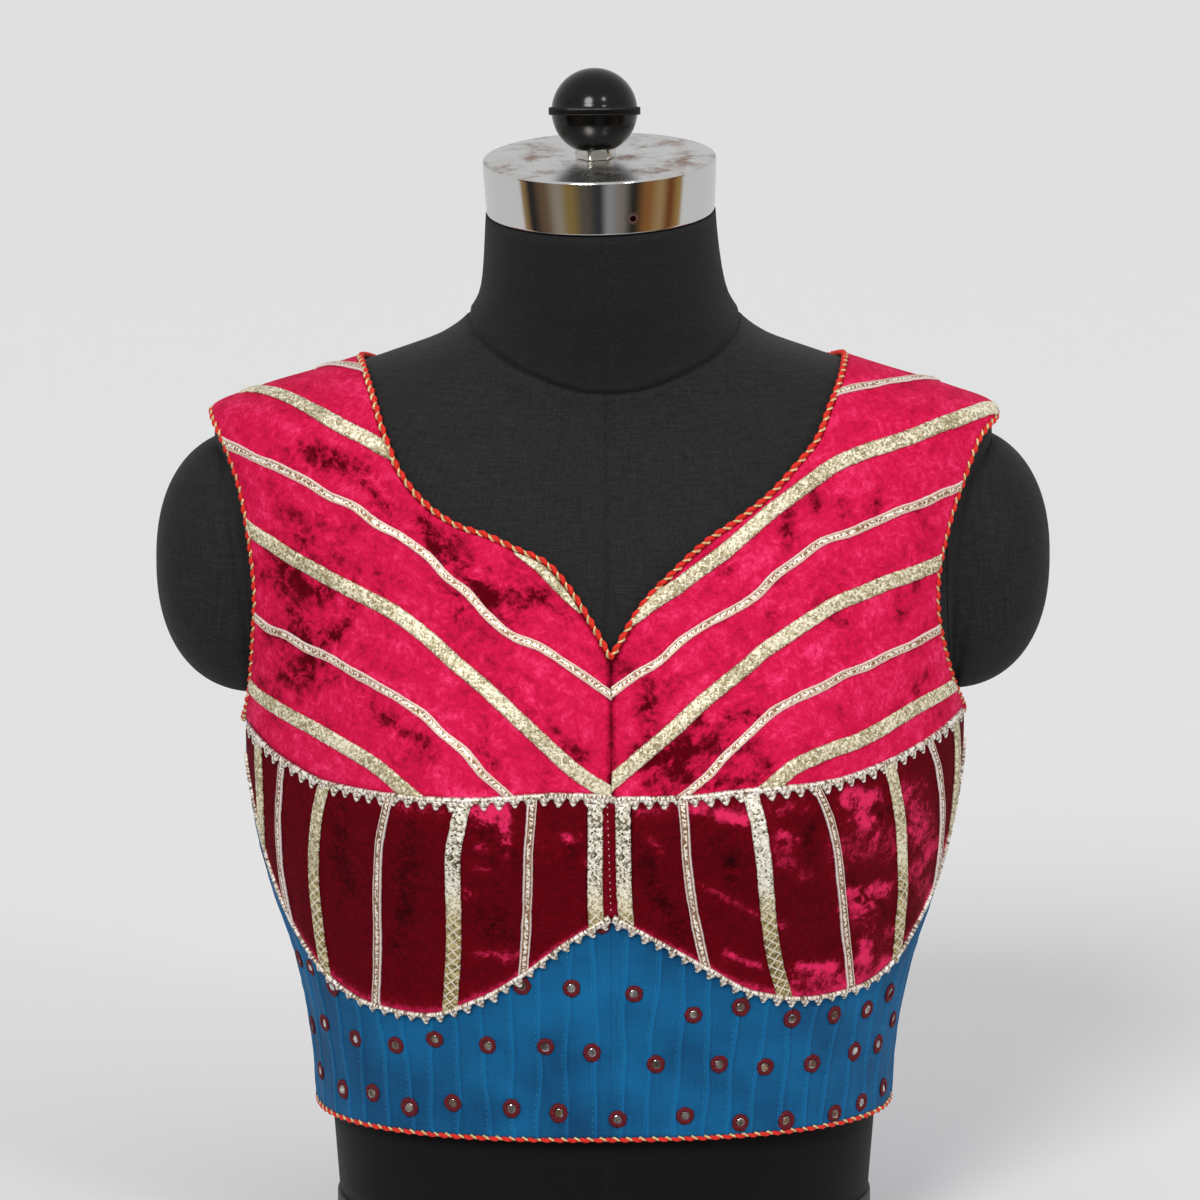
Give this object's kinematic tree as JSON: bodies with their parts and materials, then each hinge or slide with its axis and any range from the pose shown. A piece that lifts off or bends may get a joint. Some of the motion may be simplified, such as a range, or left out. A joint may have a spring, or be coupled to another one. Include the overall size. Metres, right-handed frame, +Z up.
{
  "type": "choli blouse on dress form",
  "caption": "Sleeveless choli blouse with velvet yoke, fitted cups and pintucked midriff on a limbless dress form",
  "frame": {"origin": "centre of the bounding box at the underside of the form's base", "axes": "+Z up, -Y out of the blouse's front, +X to the wearer's left"},
  "size_m": [0.43, 0.2337, 0.5735],
  "materials": {
    "velvet_magenta": "crushed velvet, bright magenta with sheen",
    "velvet_maroon": "crushed velvet, dark maroon red",
    "cotton_teal": "plain woven cotton, teal blue, pintucked",
    "gota_gold": "woven metallic ribbon, pale gold lattice",
    "gota_rose": "woven metallic ribbon, rose gold with pale edges",
    "lace_silver": "metallic pointed lace, silver pink",
    "piping_red": "twisted cord, red and gold",
    "jersey_black": "stretched matt knit",
    "chrome": "polished, slightly worn",
    "plastic_black": "gloss moulded",
    "base_grey": "matt grey"
  },
  "bodies": {
    "root": {"back_body_left": "cotton_teal", "back_body_right": "cotton_teal", "cup_left": "velvet_maroon", "cup_right": "velvet_maroon", "form_arm_left": "jersey_black", "form_arm_right": "jersey_black", "form_base": "base_grey", "form_knob": "plastic_black", "form_knob_nut": "chrome", "form_neck_cap": "chrome", "form_torso": "jersey_black", "front_placket": "velvet_maroon", "gota_cup_left_1": "gota_gold", "gota_cup_left_2": "gota_rose", "gota_cup_left_3": "gota_gold", "gota_cup_left_4": "gota_rose", "gota_cup_left_5": "gota_gold", "gota_cup_left_6": "gota_rose", "gota_cup_left_7": "gota_gold", "gota_cup_right_1": "gota_gold", "gota_cup_right_2": "gota_rose", "gota_cup_right_3": "gota_gold", "gota_cup_right_4": "gota_rose", "gota_cup_right_5": "gota_gold", "gota_cup_right_6": "gota_rose", "gota_cup_right_7": "gota_gold", "gota_yoke_left_1": "gota_rose", "gota_yoke_left_2": "gota_gold", "gota_yoke_left_3": "gota_rose", "gota_yoke_left_4": "gota_gold", "gota_yoke_left_5": "gota_rose", "gota_yoke_left_6": "gota_gold", "gota_yoke_right_1": "gota_rose", "gota_yoke_right_2": "gota_gold", "gota_yoke_right_3": "gota_gold", "gota_yoke_right_4": "gota_rose", "gota_yoke_right_5": "gota_gold", "gota_yoke_right_6": "gota_rose", "gota_yoke_right_7": "gota_gold", "lace_back_left": "lace_silver", "lace_back_right": "lace_silver", "lace_cup_left": "lace_silver", "lace_cup_right": "lace_silver", "lace_seam_left": "lace_silver", "lace_seam_right": "lace_silver", "midriff_front_left": "cotton_teal", "midriff_front_right": "cotton_teal", "piping_arm_left": "piping_red", "piping_arm_right": "piping_red", "piping_hem": "piping_red", "piping_neck": "piping_red", "yoke_back_left": "velvet_magenta", "yoke_back_right": "velvet_magenta", "yoke_front_left": "velvet_magenta", "yoke_front_right": "velvet_magenta"}
  },
  "joints": []
}
